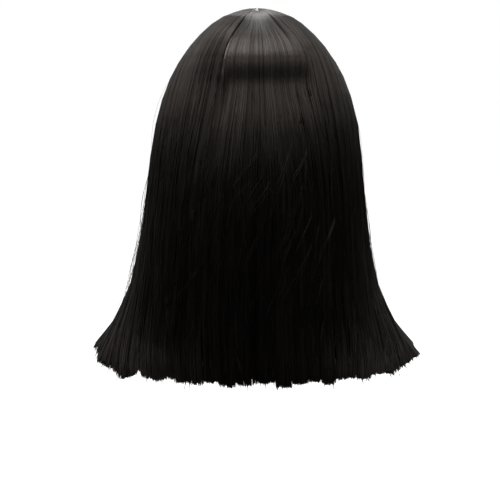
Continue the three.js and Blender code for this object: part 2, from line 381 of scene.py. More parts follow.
def painted_shadow_lines(node, share, level):
    """How much painted shadow the strands along the shadow lines at the crown get, from 0 to 1."""
    dull = 0
    for panel, middle, depth, width, opens, closes in PAINTED_SHADOW_LINES:
        if panel == node:
            shown = smoothstep(level, *opens) * (1 - smoothstep(level, *closes))
            dull = dull + depth * shown * np.exp(-(((share - middle) / width) ** 2))
    return dull


def finish_piece(obj, slot, material, *nodes):
    obj.data.materials.clear()
    obj.data.materials.append(material)
    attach(obj, "root")
    if nodes:
        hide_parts(*nodes)


def set_attribute(mesh, name, values):
    mesh.attributes.new(name, "FLOAT", "POINT").data.foreach_set("value", values.astype(np.float32))


def tube_mesh(name, centres, outward, radius, shade, sides=3, width=1.0, dull=0.0):
    """One mesh of many closed tubes: centres and outward are (tubes, points, 3), radius (tubes, points)."""
    along = unit(np.gradient(centres, axis=1))
    across = unit(np.cross(along, outward))
    out = np.cross(across, along)
    turns = math.pi / 2 + 2 * math.pi / sides * np.arange(sides)
    spoke = width * np.cos(turns)[:, None] * across[:, :, None] + np.sin(turns)[:, None] * out[:, :, None]
    corners = centres[:, :, None] + radius[:, :, None, None] * spoke
    index = np.arange(corners[..., 0].size).reshape(corners.shape[:3])
    beside = np.roll(index, -1, axis=2)
    walls = np.stack([index[:, :-1], index[:, 1:], beside[:, 1:], beside[:, :-1]], axis=-1).reshape(-1, 4)
    caps = np.concatenate([index[:, 0], index[:, -1, ::-1]])
    corner_list = np.concatenate([walls.ravel(), caps.ravel()])
    starts = np.concatenate([np.arange(len(walls)) * 4, walls.size + np.arange(len(caps)) * sides])
    mesh = bpy.data.meshes.new(name)
    mesh.vertices.add(index.size)
    mesh.vertices.foreach_set("co", corners.astype(np.float32).ravel())
    mesh.loops.add(len(corner_list))
    mesh.loops.foreach_set("vertex_index", corner_list.astype(np.int32))
    mesh.polygons.add(len(starts))
    mesh.polygons.foreach_set("loop_start", starts.astype(np.int32))
    mesh.polygons.foreach_set("use_smooth", np.arange(len(starts)) < len(walls))
    mesh.update(calc_edges=True)
    set_attribute(mesh, "shade", np.repeat(shade, centres.shape[1] * sides))
    # How far each point is mixed toward matte black: painted shade
    set_attribute(mesh, "dull", np.repeat(dull * np.ones(radius.shape), sides))
    obj = bpy.data.objects.new(name, mesh)
    bpy.context.scene.collection.objects.link(obj)
    return obj


def select_only(obj):
    bpy.ops.object.select_all(action="DESELECT")
    obj.select_set(True)
    bpy.context.view_layer.objects.active = obj


def join(into, other):
    select_only(into)
    other.select_set(True)
    bpy.ops.object.join()
    return into


# The body of a panel under its strands, in millimetres
MERGE_DISTANCE = 0.01
CORE_SINK = 1.8
CORE_DRAWN = 1.2
CORE_DRAWN_LOCKS = 1.4  # how much deeper it lies where the locks are high
LOCKS_BELOW = (120, 160)
CORE_DRAWN_PARTING = 2.0  # how much deeper it lies beside the parting
PARTING_SIDES = (4, 16)
PARTING_ABOVE = (-75, -45)
CORE_DEEPEST = 0.9  # of the thickness of the hair
CORE_LIFTED = (5, 9)  # thickness of hair over which its inner face is sunk too
CORE_MIDDLE = (8, -85)  # y and z
CORE_SHORT = 5.0
CORE_SHORT_SPAN = (2, 8)
CORE_SHORT_RING = 10.6  # where the fall of the ends is measured from
CROWN_RINGS = 3  # how far down the crown reaches
CROWN_SAMPLES = (161, 61)  # round the crown and down it


def shorten_ends(points):
    """Draws the ends of a panel's body up along the fall of the hair, so that strands make the cut."""
    last = ring_at(LAST_RING)
    side = (points[:, 0] - last["lean"]) / last["half_width"]
    behind = (points[:, 1] - (last["back"] + last["front"]) / 2) / ((last["back"] - last["front"]) / 2)
    angle = np.arctan2(
        np.sign(side) * np.abs(side) ** (SQUARENESS / 2),
        np.sign(behind) * np.abs(behind) ** (SQUARENESS / 2),
    )
    share = angle / np.radians(last["edge"])
    above = surface_point(share, np.full(len(share), CORE_SHORT_RING))
    fall = unit(surface_point(share, np.full(len(share), float(LAST_RING))) - above)
    below = np.sum((points - above) * fall, axis=1)
    short = CORE_SHORT + np.maximum(trim(share), 0)
    return points - fall * (short * smoothstep(below, *CORE_SHORT_SPAN))[:, None]


def hair_thickness(points):
    """The thickness of the crown's hair nearest to each point, in millimetres."""
    round_crown, down_crown = CROWN_SAMPLES
    share, level = np.meshgrid(np.linspace(-1, 1, round_crown), np.linspace(0, CROWN_RINGS, down_crown))
    samples = surface_point(share.ravel(), level.ravel())
    tree = KDTree(len(samples))
    for index, sample in enumerate(samples):
        tree.insert(sample, index)
    tree.balance()
    nearest = [tree.find(point)[1] for point in points]
    return ring_at(level.ravel()[nearest])["hair"]


def draw_in(points, sunk, normals):
    """Draws the outer face of a panel's body in, so that the strands cover its edges too."""
    middle = np.column_stack([
        np.zeros(len(points)),
        np.full(len(points), CORE_MIDDLE[0]),
        np.minimum(points[:, 2], CORE_MIDDLE[1]),
    ])
    out = unit(points - middle)
    beside_parting = 1 - smoothstep(np.abs(points[:, 0]), *PARTING_SIDES)
    deep = CORE_DRAWN + CORE_DRAWN_LOCKS * smoothstep(-points[:, 2], *LOCKS_BELOW)
    deep += CORE_DRAWN_PARTING * beside_parting * smoothstep(points[:, 2], *PARTING_ABOVE)
    thickness = hair_thickness(points)
    drawn = sunk - out * deep[:, None]
    too_deep = np.sum((points - drawn) * out, axis=1) - CORE_DEEPEST * thickness
    drawn += out * np.maximum(too_deep, 0)[:, None]
    lifted = points + (sunk - points) * smoothstep(thickness, *CORE_LIFTED)[:, None]
    outer_face = np.sum(normals * out, axis=1) > 0
    return np.where(outer_face[:, None], drawn, lifted)


def read_vectors(vectors, name):
    values = np.zeros(len(vectors) * 3, np.float32)
    vectors.foreach_get(name, values)
    return values.reshape(-1, 3).astype(float)


def copy_panel(node, name):
    """A copy of a panel's solid as a piece of its own, with its loose triangles merged."""
    copy = frame["nodes"][node].copy()
    copy.data = copy.data.copy()
    copy.name = name
    copy.parent = None
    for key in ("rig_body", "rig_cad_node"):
        del copy[key]
    bpy.context.scene.collection.objects.link(copy)
    select_only(copy)
    bpy.ops.object.mode_set(mode="EDIT")
    bpy.ops.mesh.select_all(action="SELECT")
    bpy.ops.mesh.remove_doubles(threshold=MERGE_DISTANCE * MM)
    bpy.ops.object.mode_set(mode="OBJECT")
    return copy


def panel_core(node, name):
    """The body of a panel: a copy of its solid, sunk under the strands and short of the cut."""
    core = copy_panel(node, name)
    points = read_vectors(core.data.vertices, "co") / MM
    normals = read_vectors(core.data.vertex_normals, "vector")
    bpy.ops.object.mode_set(mode="EDIT")
    bpy.ops.transform.shrink_fatten(value=-CORE_SINK * MM)
    bpy.ops.object.mode_set(mode="OBJECT")
    points = draw_in(points, read_vectors(core.data.vertices, "co") / MM, normals)
    points = shorten_ends(points)
    points[:, 2] -= parting_dip(points)
    points *= MM
    core.data.vertices.foreach_set("co", points.astype(np.float32).ravel())
    core.data.update()
    core.data.shade_smooth()
    set_attribute(core.data, "shade", np.zeros(len(points)))
    # The body is all painted shade: matte black, for the hair in shadow under the strands
    set_attribute(core.data, "dull", np.ones(len(points)))
    return core


# Hair under the seams of the back panel
SEAM_HAIR_RINGS = (1, 10)
SEAM_HAIR_POINTS = 24
SEAM_HAIR_DEPTH = 0.5  # of the thickness of the hair
SEAM_HAIR_LOWER = 1  # millimetres deeper than that
SEAM_HAIR_RADIUS = 0.18  # of the thickness of the hair
SEAM_HAIR_SIDES = 6
SEAM_HAIR_WIDTH = 1.8  # how much wider than thick


def seam_hair():
    """Hair under the two seams of the back panel, so that no cap shows between the panels: matte black,
    painted shade in the seams.
    """
    level = np.linspace(*SEAM_HAIR_RINGS, SEAM_HAIR_POINTS)[None] * np.ones((2, 1))
    share = np.array([[BACK_LEFT], [BACK_RIGHT]]) * np.ones(level.shape)
    hair = ring_at(level)["hair"]
    centres, outward = place(share, level, -SEAM_HAIR_DEPTH * hair - SEAM_HAIR_LOWER)
    radius = MM * SEAM_HAIR_RADIUS * hair
    return tube_mesh(
        "seam_hair",
        centres,
        outward,
        radius,
        np.zeros(2),
        sides=SEAM_HAIR_SIDES,
        width=SEAM_HAIR_WIDTH,
        dull=1.0,
    )


# The side of the back panel under its rim
RIM_SIDE_STRANDS = 40
RIM_SIDE_RINGS = (0.8, 5.2)
RIM_SIDE_POINTS = 24
RIM_SIDE_IN = 0.004  # how far inside the rim it runs, as a share of the half girth
RIM_SIDE_STRAY = 0.001
RIM_SIDE_BACK = 3  # how many widths of the rim the hair behind it lies away
RIM_SIDE_FOOT = 1.2  # how far it reaches below the hair on both sides of it, in millimetres
# The side wall is partly mixed toward matte black: painted shade
RIM_SIDE_PAINTED_SHADE = 0.3
RIM_SIDE_RADIUS = 0.33


def rim_side(count):
    """The strands that close the side of the back panel, from its rim down to the hair of the left panel."""
    draw = np.random.default_rng(SEED + 1)
    level = np.linspace(*RIM_SIDE_RINGS, RIM_SIDE_POINTS)[None] * np.ones((count, 1))
    share = BACK_LEFT - RIM_SIDE_IN + draw.normal(0, RIM_SIDE_STRAY, (count, 1)) * np.ones(level.shape)
    beside = np.full(level.shape, BACK_LEFT + RIM_WIDTH)
    inside = np.full(level.shape, BACK_LEFT - RIM_SIDE_BACK * RIM_WIDTH)
    lower = np.minimum(back_step(inside, level), -valley(beside, level) - seam(beside, level))
    foot = lower - RIM_SIDE_FOOT
    top = relief(share, level, True) - RIM_SIDE_RADIUS
    height = foot + (top - foot) * np.linspace(0, 1, count)[:, None]
    centres, outward = place(share, level, height)
    radius = np.full(level.shape, RIM_SIDE_RADIUS * MM)
    return tube_mesh("rim_side", centres, outward, radius, draw.uniform(0, 1, count), dull=RIM_SIDE_PAINTED_SHADE)


# The strands, in millimetres except where a value is a share of the half girth or a part of another value
STRAND_RADIUS = 0.33
STRAND_SPREAD = (0.7, 1.25)
STRAND_DEPTH = (-1.7, 0.35)
STRAND_DEPTH_RINGS = (0, 1.2)
STRAND_MARGIN = 0.001  # share that the strands of a panel keep from its sides
STRAND_LOOSE_RING = 3.5  # from here down strands stray from their straight way
CROWN_EVEN = 0.55  # how much of their depth the strands have at the crown, where they lie evenly
CROWN_EVEN_RINGS = (3, 6)
ROOT_DEPTH = -0.4
ROOT_RINGS = (0, 0.35)
ROOT_THIN = 0.5  # how thick a strand is at its root
ROOT_THIN_RINGS = (0, 1.5)
TOP_DEPTH = -1.3
TOP_RINGS = (0.8, 2)
TIP_THIN = 0.6  # how thick it is at its tip
WISP_WIDTH = 0.012
WISP_MIDDLES = (0.2, 0.8)
WISP_PULL = 0.5
WISP_PULL_SPREAD = (0.2, 1)
WISP_LENGTH = 0.8
WISP_LIFT = 0.35
WISP_LIFT_CROWN = 0.2  # how much of it there is at the crown
WISP_LIFT_CROWN_RINGS = (0, 2)
WISP_LIFT_BELOW_RINGS = (3, 8)
WISP_WAVE = 0.85
WISP_WAVE_RINGS = (4.5, 7)
WISP_TURN = 1.9
WISP_SHADE = 0.65  # how much of a strand's shade is its wisp's
LOCK_PULL = 0.15
LOCK_PULL_SPREAD = (0.1, 1)
DRIFT = 0.005
WIDE_DRIFT = 0.02
WIDE_DRIFT_PART = 0.12  # how many of the strands drift far
SWAY = 0.0016
SWAY_TURNS = (0.9, 1.9)
SWAY_SECOND = 0.6
BEHIND = 0.6  # the share of the half girth that is seen from behind
BEHIND_SAMPLES = 241

# The cut, in millimetres
TIP_GROOVE = 0.8  # how much shorter the strands in the grooves between locks are
TIP_SPREAD = 0.6
TIP_LONG = 6  # how much longer a few strands are at most
TIP_LONG_PART = 0.02  # how many of the strands those are


def cut_share(share, height):
    """The share at which the cut is read for ends that lie deeper: that of the outer end which hides them."""
    lying = lie(share, LAST_RING)
    last = np.full(len(lying), float(LAST_RING))
    across = surface_point(lying, last)[:, 0] + surface_normal(lying, last)[:, 0] * height
    behind = np.linspace(-BEHIND, BEHIND, BEHIND_SAMPLES)
    outer = surface_point(behind, np.full(len(behind), float(LAST_RING)))[:, 0]
    return np.where(np.abs(lying) < BEHIND, np.interp(across, outer, behind), lying)


def tip_levels(share, lying, wisp_length):
    """Where each strand is cut: nearly level, with locks and wisps a little longer or shorter."""
    count = len(share)
    lock_length = TIP_STRAY * np.sin(lock_number(share) * TIP_TURN)
    in_groove = TIP_GROOVE * (1 - ridge_wave(share))
    length = wisp_length - lock_length - in_groove + rng.normal(0, TIP_SPREAD, count)
    stray = np.where(rng.uniform(0, 1, count) < TIP_LONG_PART, rng.uniform(0, TIP_LONG, count), 0)
    return LAST_RING + (length + stray - trim(lying)) / RING_FALL


def wisp_values(start, low, high):
    """What the wisps of a panel are like, for each of its strands: a strand has the values of its wisp."""
    wisps = round((high - low) / WISP_WIDTH)
    wisp = np.clip(((start - low) / (high - low) * wisps).astype(int), 0, wisps - 1)
    drawn = {
        "middle": low + (np.arange(wisps) + rng.uniform(*WISP_MIDDLES, wisps)) / wisps * (high - low),
        "lift": rng.normal(0, WISP_LIFT, wisps),
        "length": rng.normal(0, WISP_LENGTH, wisps),
        "shade": rng.uniform(0, 1, wisps),
        "phase": rng.uniform(0, 2 * np.pi, wisps),
    }
    return {name: values[wisp] for name, values in drawn.items()}


def strand_shares(node, start, wisp, level):
    """Where the strands of a panel lie: drawn to the middle of their wisp and lock, and swaying a little."""
    count = len(start)
    low, high = SPANS[node]
    lock_middle = (2 * lock_number(start) + 1) / HALF_GIRTH
    grown = smoothstep(level, STRAND_LOOSE_RING, LAST_RING)
    pull_wisp = WISP_PULL * rng.uniform(*WISP_PULL_SPREAD, count) * (wisp["middle"] - start)
    pull_lock = LOCK_PULL * rng.uniform(*LOCK_PULL_SPREAD, count) * (lock_middle - start)
    drift = rng.normal(0, np.where(rng.uniform(0, 1, count) < WIDE_DRIFT_PART, WIDE_DRIFT, DRIFT), count)
    phase = rng.uniform(0, 2 * np.pi, (2, count, 1))
    first, second = (np.sin(level * turn + start_phase) for turn, start_phase in zip(SWAY_TURNS, phase))
    sway = SWAY * (first + SWAY_SECOND * second)
    share = start[:, None] + (pull_wisp + pull_lock + drift)[:, None] * grown + sway * grown
    share = np.clip(share, low + STRAND_MARGIN, high - STRAND_MARGIN)
    return share + (seam_shift(node, share, level) + groove_shift(share, level))


def strand_heights(node, share, wisp, level):
    """How far the strands of a panel stand off the plain surface, in millimetres."""
    evened = CROWN_EVEN + (1 - CROWN_EVEN) * smoothstep(level, *CROWN_EVEN_RINGS)
    depth = rng.uniform(*STRAND_DEPTH, len(share))[:, None] * smoothstep(level, *STRAND_DEPTH_RINGS) * evened
    lifted = WISP_LIFT_CROWN * smoothstep(level, *WISP_LIFT_CROWN_RINGS)
    lifted = lifted + (1 - WISP_LIFT_CROWN) * smoothstep(level, *WISP_LIFT_BELOW_RINGS)
    depth += wisp["lift"][:, None] * lifted
    depth += TOP_DEPTH * (1 - smoothstep(level, *TOP_RINGS))
    wave = WISP_WAVE * np.sin(WISP_TURN * level + wisp["phase"][:, None])
    depth += wave * smoothstep(level, *WISP_WAVE_RINGS)
    height = relief(share, level, node == "hair_back") + depth
    return height + ROOT_DEPTH * (1 - smoothstep(level, *ROOT_RINGS))


def strand_painted_shade(node, start, share, level, on_rim):
    """How much painted shade the strands of a panel get, from 0 to 1: at the side ends, the rim near the
    crown, the shadow lines and the valley.
    """
    dull = side_painted_shade(share, level) + RIM_PAINTED_SHADE * on_rim[:, None] * (1 - smoothstep(level, *RIM_PAINTED_SHADE_RINGS))
    dull += painted_shadow_lines(node, start[:, None], level)
    # Painted shade in the valley left of the back panel, fading farther down
    if node == "hair_left":
        lost = VALLEY_PAINTED_SHADE_LOSS * smoothstep(level, *VALLEY_PAINTED_SHADE_RINGS)
        dull += VALLEY_PAINTED_SHADE * valley(share, level, VALLEY_PAINTED_SHADE_WIDTH) * (1 - lost)
    return dull


def drawn_radii(radius, spread, count):
    """A column of radii in metres, each a little more or less than a radius in millimetres."""
    return radius * MM * rng.uniform(*spread, count)[:, None]


def root_taper(level):
    return ROOT_THIN + (1 - ROOT_THIN) * smoothstep(level, *ROOT_THIN_RINGS)


def outer_strands(node):
    """The strands that lie on a panel, from the parting to the cut."""
    panel = PANELS[node]
    low, high = SPANS[node]
    count = panel["strands"]
    start = rng.uniform(low, high, count)
    wisp = wisp_values(start, low, high)
    tip = tip_levels(start, lie(start, LAST_RING), wisp["length"])
    level = np.array(panel["levels"])[None] * (tip / LAST_RING)[:, None]
    share = strand_shares(node, start, wisp, level)
    centres, outward = place(share, level, strand_heights(node, share, wisp, level))
    radius = drawn_radii(STRAND_RADIUS, STRAND_SPREAD, count) * root_taper(level)
    radius[:, -1] *= TIP_THIN
    shade = WISP_SHADE * wisp["shade"] + (1 - WISP_SHADE) * rng.uniform(0, 1, count)
    on_rim = (start > BACK_LEFT - RIM_WIDTH / 2) & (node == "hair_back")
    # Rim strands: glossier, with a lighter base colour that is partly painted highlight
    shade[on_rim] = RIM_SHADE
    dull = strand_painted_shade(node, start, share, level, on_rim)
    return tube_mesh(panel["piece"] + "_strands", centres, outward, radius, shade, dull=dull)


# Strands on the inner face, at the face edges and through the cut, in millimetres, shares and rings
INSIDE_SPREAD = (0.7, 1.2)  # how thick these are, as a part of their radius
INNER_STRANDS = 1500
INNER_POINTS = 8
INNER_SHARE = 0.985
INNER_TUCK = 0.4  # rings that they reach up behind the edge of the cap
INNER_LIFT = 1.3
INNER_CUT = (-0.06, 0.04)  # mean and spread
INNER_DRIFT = 0.006
INNER_RADIUS = 0.45
FACE_STRANDS = 440
FACE_CUT = (-0.03, 0.05)
FACE_BAND = 0.022
FACE_RADIUS = 0.36
END_STRANDS = 3200
END_TAPER = (1, 1, 1, TIP_THIN)  # a point of an end for each value
END_SHARE = 0.99
END_LENGTH = (-0.5, 0.8)
END_RING = 10.35
END_INSET = 0.6
END_RADIUS = 0.42
END_THICKNESS = RINGS[-1, RING_COLUMNS.index("hair")]


def inner_strands(count):
    """The strands on the inner face, from the edge of the cap to the cut."""
    t = np.linspace(0, 1, INNER_POINTS)[None]
    share = rng.uniform(-INNER_SHARE, INNER_SHARE, count)[:, None]
    first = np.interp(np.abs(share), CAP_EDGE_SHARES, CAP_EDGE_RINGS) - INNER_TUCK
    lift = rng.uniform(0, INNER_LIFT, count)
    cut = trim(cut_share(share[:, 0], lift - END_THICKNESS)) / RING_FALL
    last = (LAST_RING + rng.normal(*INNER_CUT, count) - cut)[:, None]
    level = first + (last - first) * t
    share = share + rng.normal(0, INNER_DRIFT, count)[:, None] * t
    height = lift[:, None] - ring_at(level)["hair"]
    centres, outward = place(share, level, height)
    radius = drawn_radii(INNER_RADIUS, INSIDE_SPREAD, count) * np.ones(INNER_POINTS)
    return tube_mesh("inner_hair", centres, -outward, radius, rng.uniform(0, 1, count))


def face_strands(count):
    """The strands down the two face edges, through the thickness of the hair."""
    side = np.where(rng.uniform(0, 1, count) < 0.5, -1, 1)
    levels = np.array(SIDE_LEVELS, float)
    tip = LAST_RING + rng.normal(*FACE_CUT, count)
    level = levels[None] * (tip / LAST_RING)[:, None]
    share = side[:, None] * (1 - rng.uniform(0, FACE_BAND, count)[:, None] * np.ones(len(levels)))
    through = rng.uniform(EDGE_THINNING, 1, count)[:, None]
    height = -ring_at(level)["hair"] * through
    centres, outward = place(share, level, height)
    radius = drawn_radii(FACE_RADIUS, INSIDE_SPREAD, count) * root_taper(level)
    return tube_mesh("face_edge_hair", centres, outward, radius, rng.uniform(0, 1, count))


def end_strands(count):
    """The cut ends of the hair inside the thickness of the panels."""
    points = len(END_TAPER)
    share = rng.uniform(-END_SHARE, END_SHARE, count)
    through = rng.uniform(0, 1, count)
    lying = cut_share(share, -END_THICKNESS * (1 - through))
    last = tip_levels(share, lying, rng.normal(*END_LENGTH, count))[:, None]
    share = share[:, None] * np.ones(points)
    level = END_RING + (last - END_RING) * np.linspace(0, 1, points)[None]
    top = relief(share, level, False) - END_INSET
    bottom = END_INSET - ring_at(level)["hair"]
    height = bottom + (top - bottom) * through[:, None]
    centres, outward = place(share, level, height)
    radius = drawn_radii(END_RADIUS, INSIDE_SPREAD, count) * np.array(END_TAPER)
    # Cut ends deeper in the hair get more painted shade
    dull = np.maximum(side_painted_shade(share, level), END_PAINTED_SHADE * (1 - through[:, None]))
    return tube_mesh("hair_ends", centres, outward, radius, rng.uniform(0, 1, count), dull=dull)


# Loose wisps, a row for each kind
LOOSE_COLUMNS = (
    "count",
    "hairs",  # in each wisp
    "shares",  # where they start
    "first",  # the ring where they start
    "rings",  # how many rings they run
    "slant",  # how far they run aside, as a share of the half girth
    "lift",  # how far they stand off, in millimetres
    "stands",  # whether that is at their tip or their middle
    "radius",  # of a hair, in millimetres
)
LOOSE_ROWS = (
    (150, 1, (-0.62, 0.62), (3.9, 6.5), (2.5, 5.5), (-0.05, 0.05), (0.3, 0.9), "middle", 0.2),
    (38, 4, (-0.34, 0.2), (5.4, 8), (0.7, 1.5), (0.02, 0.1), (1.4, 3.4), "tip", 0.23),
    (16, 4, (-0.3, 0.3), (5.8, 8), (0.7, 1.4), (-0.06, -0.01), (1.4, 3), "tip", 0.23),
    (44, 3, (-0.4, 0.34), (7.8, 9.7), (0.9, 1.7), (-0.05, 0.06), (1.4, 3.4), "tip", 0.2),
    (90, 1, (-0.95, 0.95), (3.5, 7.5), (2, 4.5), (-0.02, 0.02), (1, 4), "middle", 0.14),
    (14, 1, (0.6, 0.7), (5.6, 8), (1.6, 2.6), (-0.02, 0.02), (2, 5), "middle", 0.2),
    (5, 1, (-0.7, -0.6), (6, 8), (1.6, 2.6), (-0.02, 0.02), (2, 4), "middle", 0.2),
)
LOOSE_POINTS = 14
LOOSE_FIRST_STRAY = 0.03  # rings
LOOSE_LENGTHS = (0.85, 1.1)
LOOSE_SPREAD = 0.003  # how far apart the hairs of a wisp start, as a share of the half girth
LOOSE_CLOSING = 0.7  # how much closer they are at their tips
LOOSE_BOW = 0.008
LOOSE_SLANT_SPAN = (-0.2, 1.2)  # this span and the next two are parts of the length, from the root
LOOSE_ROOT_SPAN = (0, 0.3)
LOOSE_ROOT_THIN_SPAN = (0, 0.25)
LOOSE_ROOT = 1.1  # how deep a loose hair starts, in millimetres
LOOSE_ROOT_THIN = 0.65  # how much thinner it is there
LOOSE_TIP_THIN = 0.5  # and at its tip
LOOSE_ARCH = 0.7
LOOSE_SHARE = 0.99
# Loose hairs take the lighter half of the shade range: a lighter base colour, painted sheen so that they
# stand out
LOOSE_SHADE = (0.5, 1)


def loose_strands():
    """Loose wisps and single hairs: some lie across the others, and some stand off the outline."""
    kinds = [dict(zip(LOOSE_COLUMNS, row)) for row in LOOSE_ROWS]
    hairs = [kind["count"] * kind["hairs"] for kind in kinds]
    count = sum(hairs)

    def each_hair(values):
        return np.repeat(values, hairs)[:, None]

    def draw(column):
        return np.concatenate([
            np.repeat(rng.uniform(*kind[column], kind["count"]), kind["hairs"]) for kind in kinds
        ])[:, None]

    t = np.linspace(0, 1, LOOSE_POINTS)[None]
    arch = np.sin(np.pi * t)
    first = draw("first") + rng.normal(0, LOOSE_FIRST_STRAY, (count, 1))
    length = draw("rings") * rng.uniform(*LOOSE_LENGTHS, (count, 1))
    level = first + (np.minimum(first + length, LAST_RING) - first) * t
    spread = rng.normal(0, LOOSE_SPREAD, (count, 1)) * (1 - LOOSE_CLOSING * t)
    bow = rng.normal(0, LOOSE_BOW, (count, 1)) * arch * each_hair([1 / kind["hairs"] for kind in kinds])
    share = draw("shares") + draw("slant") * smoothstep(t, *LOOSE_SLANT_SPAN) + spread + bow
    share = np.clip(share, -LOOSE_SHARE, LOOSE_SHARE)
    on_back = (share > BACK_RIGHT) & (share < BACK_LEFT)
    at_tip = each_hair([kind["stands"] == "tip" for kind in kinds])
    stands = np.where(at_tip, t, arch**LOOSE_ARCH)
    sunk = np.where(at_tip, 1 - smoothstep(t, *LOOSE_ROOT_SPAN), 1 - arch)
    height = relief(share, level, on_back) + draw("lift") * stands - LOOSE_ROOT * sunk
    centres, outward = place(share, level, height)
    root_thin = 1 - LOOSE_ROOT_THIN * (1 - smoothstep(t, *LOOSE_ROOT_THIN_SPAN))
    thinning = (1 - LOOSE_TIP_THIN * t**3) * root_thin
    radius = MM * each_hair([kind["radius"] for kind in kinds]) * thinning
    return tube_mesh("loose_hairs", centres, outward, radius, rng.uniform(*LOOSE_SHADE, count))


# The rows of stitching inside the cap
SEWN_RINGS = (1.0, 1.6, 2.2, 2.8, 3.4, 4.0, 4.5, 5.0)
SEWN_SHARE = 0.96
SEWN_POINTS = 90
SEWN_RADIUS = 0.55  # millimetres
SEWN_SIDES = 6
SEWN_WIDTH = 2.0  # how much wider than thick
SEWN_SHADE = 0.5


def cap_point(share, level):
    """Points of the cap's inner face, and the normals that point inwards."""
    dip = CAP_DIP * (1 - smoothstep(level, *CAP_DIP_RINGS))
    depth = ring_at(level)["hair"] + CAP_DEPTH + dip + CAP_WALL
    normal = surface_normal(share, level)
    return MM * (surface_point(share, level) - normal * depth[..., None]), -normal


def sewn_rows():
    """The rows of stitching that carry the hair, on the inside of the cap."""
    rows = np.array(SEWN_RINGS)
    share = np.linspace(-SEWN_SHARE, SEWN_SHARE, SEWN_POINTS)[None] * np.ones((len(rows), 1))
    level = rows[:, None] * np.ones(SEWN_POINTS)
    centres, inward = cap_point(share, level)
    radius = np.full(share.shape, SEWN_RADIUS * MM)
    shade = np.full(len(rows), SEWN_SHADE)
    return tube_mesh("cap_rows", centres, inward, radius, shade, sides=SEWN_SIDES, width=SEWN_WIDTH)


class Wire:
    """A shader socket: arithmetic on it adds Math nodes, and node() adds any other node to its tree."""

    def __init__(self, tree, socket=None):
        self.tree = tree
        self.socket = socket

    def node(self, kind, settings=None, sockets=None, output=0):
        made = self.tree.nodes.new(kind)
        for key, value in (settings or {}).items():
            if key == "stops":
                ramp = made.color_ramp.elements
                while len(ramp) < len(value):
                    ramp.new(0.5)
                for stop, (position, tone) in zip(ramp, value):
                    stop.position = position
                    stop.color = (tone, tone, tone, 1)
            else:
                setattr(made, key, value)
        for key, value in (sockets or {}).items():
            if isinstance(value, Wire):
                self.tree.links.new(value.socket, made.inputs[key])
            else:
                made.inputs[key].default_value = value
        return Wire(self.tree, made.outputs[output] if made.outputs else None)

    def maths(self, operation, *values):
        return self.node("ShaderNodeMath", {"operation": operation}, dict(enumerate(values)))

    def __add__(self, other):
        return self.maths("ADD", self, other)

    def __rsub__(self, other):
        return self.maths("SUBTRACT", other, self)

    def __mul__(self, other):
        return self.maths("MULTIPLY", self, other)

    __radd__ = __add__
    __rmul__ = __mul__


DEEP_BLACK = (0.0006, 0.0005, 0.0005, 1)
WARM_BLACK = (0.0085, 0.0072, 0.0066, 1)
WHITE = (1, 1, 1, 1)
MIX_FIRST, MIX_SECOND, MIX_RESULT = 6, 7, 2  # the sockets for colours of a Mix node


def new_material(name):
    material = bpy.data.materials.new(name)
    material.use_nodes = True
    material.node_tree.nodes.clear()
    return material, Wire(material.node_tree)


def finish_material(start, sockets):
    surface = start.node("ShaderNodeBsdfPrincipled", {}, sockets)
    start.node("ShaderNodeOutputMaterial", {}, {"Surface": surface})


def mix_colours(start, factor, first, second):
    sockets = {"Factor": factor, MIX_FIRST: first, MIX_SECOND: second}
    return start.node("ShaderNodeMix", {"data_type": "RGBA"}, sockets, output=MIX_RESULT)


def hair_material():
    material, start = new_material("black_hair")
    shade = start.node("ShaderNodeAttribute", {"attribute_name": "shade"}, output="Fac")
    colour = mix_colours(start, shade * shade, DEEP_BLACK, WARM_BLACK)
    strand = start.node("ShaderNodeBsdfPrincipled", {}, {
        "Base Color": colour,
        "Roughness": 0.3 + 0.12 * shade,
        "IOR": 1.5,
        "Specular Tint": (1.0, 0.87, 0.79, 1),
    })
    # A matte near-black for painted shade: hair in shadow under and between the strands
    shaded_black = start.node("ShaderNodeBsdfPrincipled", {}, {
        "Base Color": DEEP_BLACK,
        "Roughness": 0.9,
        "Specular IOR Level": 0.0,
    })
    # Each point's painted-shade attribute mixes it toward that black
    dull = start.node("ShaderNodeAttribute", {"attribute_name": "dull"}, output="Fac")
    hair = start.node("ShaderNodeMixShader", {}, {0: dull, 1: strand, 2: shaded_black})
    start.node("ShaderNodeOutputMaterial", {}, {"Surface": hair})
    return material


def net_material():
    material, start = new_material("black_net")
    spot = start.node("ShaderNodeTexCoord", output="Object")
    edges = {"feature": "DISTANCE_TO_EDGE"}
    cells = start.node("ShaderNodeTexVoronoi", edges, {"Vector": spot, "Scale": 620.0})
    thread = 1 - start.node("ShaderNodeMapRange", {}, {"Value": cells, "From Min": 0.05, "From Max": 0.16})
    colour = mix_colours(start, thread, (0.004, 0.004, 0.004, 1), (0.022, 0.02, 0.019, 1))
    bump = start.node("ShaderNodeBump", {}, {"Height": thread, "Strength": 0.6, "Distance": 0.0004})
    finish_material(start, {"Base Color": colour, "Roughness": 0.72 + 0.1 * thread, "Normal": bump})
    return material


def parting_material():
    material, start = new_material("pale_parting")
    spot = start.node("ShaderNodeTexCoord", output="Object")
    pores = start.node("ShaderNodeTexVoronoi", {}, {"Vector": spot, "Scale": 900.0})
    root = 1 - start.node("ShaderNodeMapRange", {}, {"Value": pores, "From Min": 0.1, "From Max": 0.3})
    tone = start.node("ShaderNodeTexNoise", {}, {"Vector": spot, "Scale": 120.0})
    skin = mix_colours(start, tone, (0.62, 0.5, 0.41, 1), (0.5, 0.38, 0.3, 1))
    colour = mix_colours(start, 0.7 * root, skin, (0.05, 0.04, 0.035, 1))
    bump = start.node("ShaderNodeBump", {}, {"Height": tone, "Strength": 0.3, "Distance": 0.0003})
    finish_material(start, {"Base Color": colour, "Roughness": 0.6 + 0.15 * tone, "Normal": bump})
    return material


HAIR = hair_material()
NET = net_material()
PARTING = parting_material()

